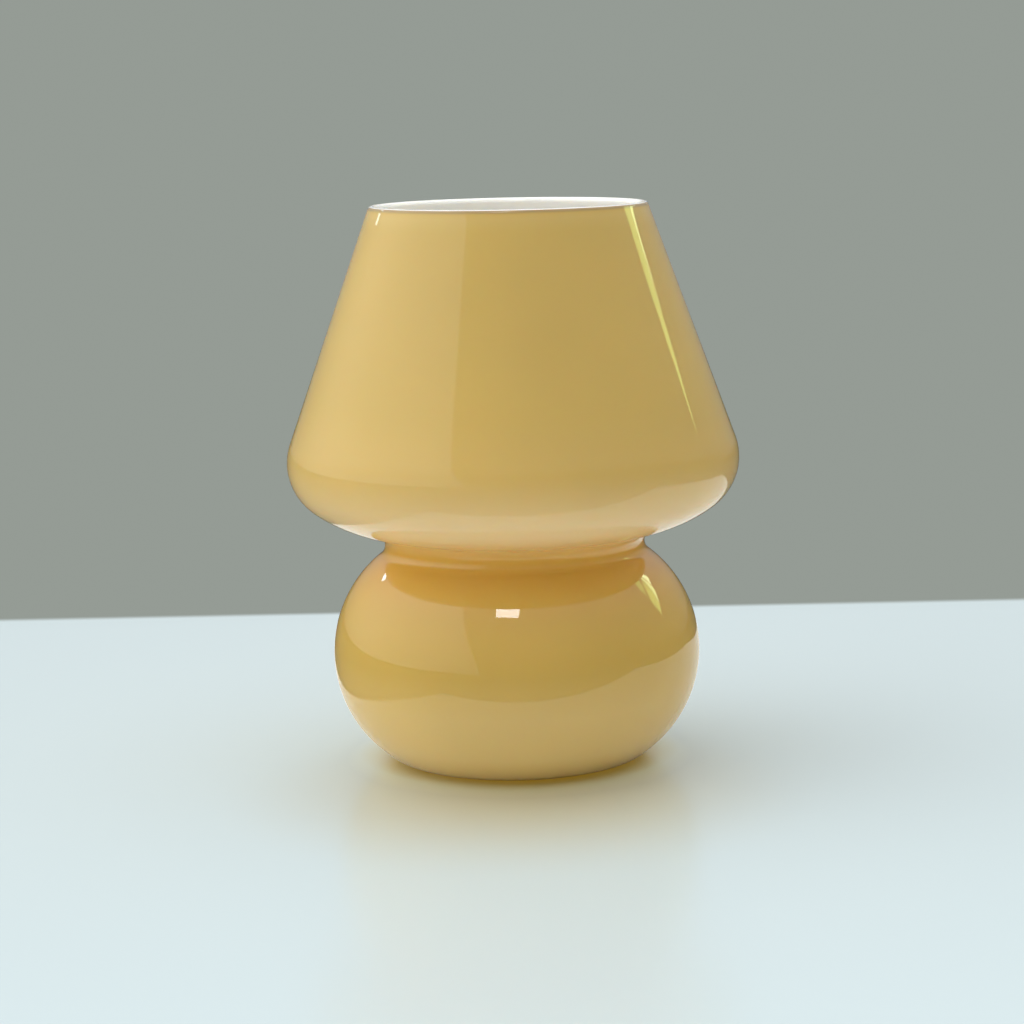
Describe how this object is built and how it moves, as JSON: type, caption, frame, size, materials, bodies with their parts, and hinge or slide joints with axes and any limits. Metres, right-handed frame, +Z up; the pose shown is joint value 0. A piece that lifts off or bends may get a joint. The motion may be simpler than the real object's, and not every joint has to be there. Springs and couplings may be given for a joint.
{
  "type": "mushroom table lamp",
  "caption": "Mushroom table lamp blown as one piece of amber opal glass: conical shade, pinched neck and squashed globe base, with a globe bulb in a holder inside.",
  "frame": {"origin": "centre of the lamp's axis on the table, at the underside of the foot pads", "axes": "+Z up along the lamp's axis; +Y to the back, where the cord hole is; +X to the right seen from the front"},
  "size_m": [0.1782, 0.1782, 0.22],
  "materials": {
    "opal_glass": "glossy cased opal glass, amber outside and white inside",
    "clear_silicone": "clear soft silicone",
    "bushing_rubber": "pale translucent rubber",
    "gasket_rubber": "black rubber",
    "zinc_steel": "zinc-plated",
    "white_steel": "white satin powder coat",
    "holder_plastic": "white heat-resistant plastic",
    "holder_ceramic": "unglazed",
    "contact_brass": "bright",
    "cap_metal": "nickel-plated",
    "tip_metal": "tinned",
    "black_insulator": "gloss",
    "bulb_plastic": "satin white",
    "bulb_opal": "opal, satin",
    "board_white": "white solder mask",
    "chip_yellow": "phosphor under silicone",
    "board_green": "green solder mask"
  },
  "bodies": {
    "root": {"glass_body": "opal_glass", "foot_pads": "clear_silicone", "cord_grommet": "bushing_rubber", "outer_gasket": "gasket_rubber", "clamp_plate": "zinc_steel", "lock_washer": "zinc_steel", "stem_nut": "zinc_steel", "threaded_stem": "zinc_steel", "inner_gasket": "gasket_rubber", "inner_plate": "white_steel", "stem_sleeve": "white_steel", "holder_cap": "holder_plastic", "locking_screw": "zinc_steel", "holder_shell": "holder_plastic", "terminal_block": "holder_ceramic", "terminal_screws": "contact_brass", "centre_contact": "contact_brass", "side_contact": "contact_brass", "screw_shell": "cap_metal"},
    "bulb_lift": {"bulb_tip_contact": "tip_metal"},
    "bulb": {"bulb_insulator": "black_insulator", "bulb_cap": "cap_metal", "bulb_housing": "bulb_plastic", "bulb_diffuser": "bulb_opal", "led_board": "board_white", "led_chips": "chip_yellow", "driver_board": "board_green"}
  },
  "joints": [
    {"name": "bulb_rise", "type": "slide", "parent": "root", "child": "bulb_lift", "axis": [0, 0, 1], "range_m": [0, 0.00988]},
    {"name": "bulb_turn", "type": "hinge", "parent": "bulb_lift", "child": "bulb", "pos_m": [0, 0, 0.0614], "axis": [0, 0, 1], "range_deg": [0, 1260]}
  ],
  "couplings": [
    {"joint": "bulb_rise", "follows": "bulb_turn", "m_per_rad": 0.00044913}
  ]
}
